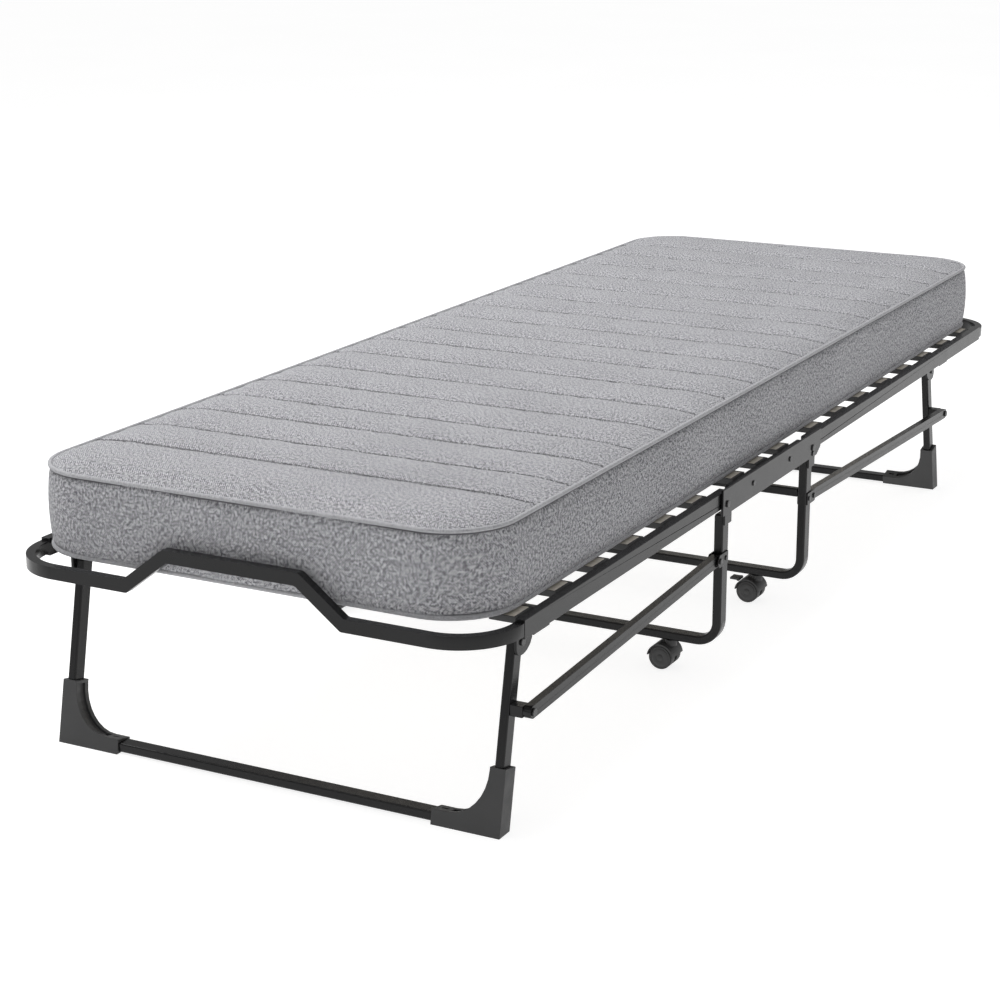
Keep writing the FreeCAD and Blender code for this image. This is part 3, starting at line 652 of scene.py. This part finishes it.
def cut(verts, faces, uvs, low_y, high_y):
    """The faces whose middle lies between two places in Y, with the points they use."""
    chosen, used, points, maps = [], {}, [], []
    for face, places in zip(faces, uvs):
        mid = sum(verts[i][1] for i in face) / len(face)
        if not low_y < mid < high_y:
            continue
        for i in face:
            if i not in used:
                used[i] = len(points)
                points.append(tuple(verts[i]))
        chosen.append([used[i] for i in face])
        maps.extend(places)
    return points, chosen, maps


def cord(outline, level, radius, out):
    """A tube round the mattress at one level, its line moved out from the outline."""
    ring = []
    for x, y in outline:
        ox, oy = outward(x, y)
        ring.append((x + ox * out, y + oy * out, level))
    return tube(ring, radius)


def mattress():
    """The cover with its piping, stitches and dark seam cords that paint the shade beside the
    pipings, in a foot half and a head half.
    """
    verts, faces, uvs, pins, outline = build_mattress()
    whole = make_object("mattress_whole", verts, faces, [FABRIC])
    coords = inflate(whole, pins, CLOTH_CAP)
    coords[:, 2] = np.clip(coords[:, 2], BED_Z0 - 0.0003, CROWN_TOP)
    coords[:, 0] = np.clip(coords[:, 0], -HALF_W - SWELL, HALF_W + SWELL)
    coords[:, 1] = np.clip(coords[:, 1], END_FOOT - SWELL, END_HEAD + SWELL)
    bpy.data.objects.remove(whole)

    sources = [("mattress_cover", (coords, faces, uvs), FABRIC)]
    for label, level, radius, out, material in (
            ("mattress_piping_top", BED_Z1 - 0.0012, 0.0029, 0.0006, PIPING),
            ("mattress_piping_bottom", BED_Z0 + 0.0036, 0.0034, 0.0010, PIPING),
            # The two seam cords are dark as painted shade in the tucks beside the pipings.
            ("mattress_shade_seam_top", BED_Z1 - 0.0052, 0.0011, -0.0003, SHADE_SEAM),
            ("mattress_shade_seam_bottom", BED_Z0 + 0.0078, 0.0011, 0.0, SHADE_SEAM)):
        sources.append((label, cord(outline, level, radius, out), material))
    sources.append(("mattress_stitches", stitches(), THREAD))
    past = 9.0  # well past either end
    for part, low_y, high_y in (("foot", -past, SPLIT_Y), ("head", SPLIT_Y, past)):
        for label, shape, material in sources:
            points, chosen, maps = cut(*shape, low_y, high_y)
            piece = make_object("%s_%s" % (label, part), points, chosen, [material])
            layer = piece.data.uv_layers.new(name="weave")
            layer.data.foreach_set("uv", [c for uv in maps for c in uv])
            finish_soft(piece, part, label == "mattress_cover")


def finish_soft(piece, part, cushion):
    """Bakes the placing of a piece of a mattress half; a cover half is also smoothed, and the CAD
    mattress parts that it stands for are hidden.
    """
    if cushion:
        sub = piece.modifiers.new("smooth", "SUBSURF")
        sub.levels = 1
        sub.render_levels = 1
        sub.boundary_smooth = "PRESERVE_CORNERS"
    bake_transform(piece)
    if cushion:
        if part == "foot":
            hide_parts("mattress_foot")
        else:
            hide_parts("mattress_head", "mattress_centre")


mattress()

# ------------------------------------------------------------------ stage and light


def stage():
    """A bright pale floor, an even sky and three large soft lights."""
    net = Net("studio_floor")
    tint = net.ramp(net.noise(1.5, 2.0, 0.5), "Fac", ((0.3, (0.39,) * 3), (0.7, (0.41,) * 3)))
    net.link(tint, "Color", net.bsdf, "Base Color")
    net.bsdf.inputs["Emission Color"].default_value = (1, 1, 1, 1)
    net.bsdf.inputs["Emission Strength"].default_value = 0.83
    net.set(rough=0.9, spec=0.1)
    size = 60.0
    verts = [(-size, -size, 0), (size, -size, 0), (size, size * 2, 0), (-size, size * 2, 0)]
    floor = make_object("studio_floor", verts, [(0, 1, 2, 3)], [net.mat], smooth=False)
    world = bpy.data.worlds.new("studio")
    world.use_nodes = True
    world.node_tree.nodes["Background"].inputs["Color"].default_value = (1, 1, 1, 1)
    world.node_tree.nodes["Background"].inputs["Strength"].default_value = 0.36
    scene.world = world
    for name, place, aim, energy, size_x, size_y in (
            ("key", (-1.2, -0.3, 3.5), (0, 0, 0.3), 154.0, 3.0, 3.0),
            ("front", (-0.6, -3.8, 1.7), (0, -0.4, 0.25), 7.0, 2.6, 1.4),
            ("rim", (1.6, 2.6, 2.2), (0, 0.2, 0.3), 9.0, 2.0, 1.4)):
        data = bpy.data.lights.new(name, "AREA")
        data.shape = "RECTANGLE"
        data.size, data.size_y = size_x, size_y
        data.energy = energy
        lamp = bpy.data.objects.new(name, data)
        way = Vector(place) - Vector(aim)
        lamp.rotation_euler = way.to_track_quat("Z", "Y").to_euler()
        lamp.location = place
        scene.collection.objects.link(lamp)


stage()
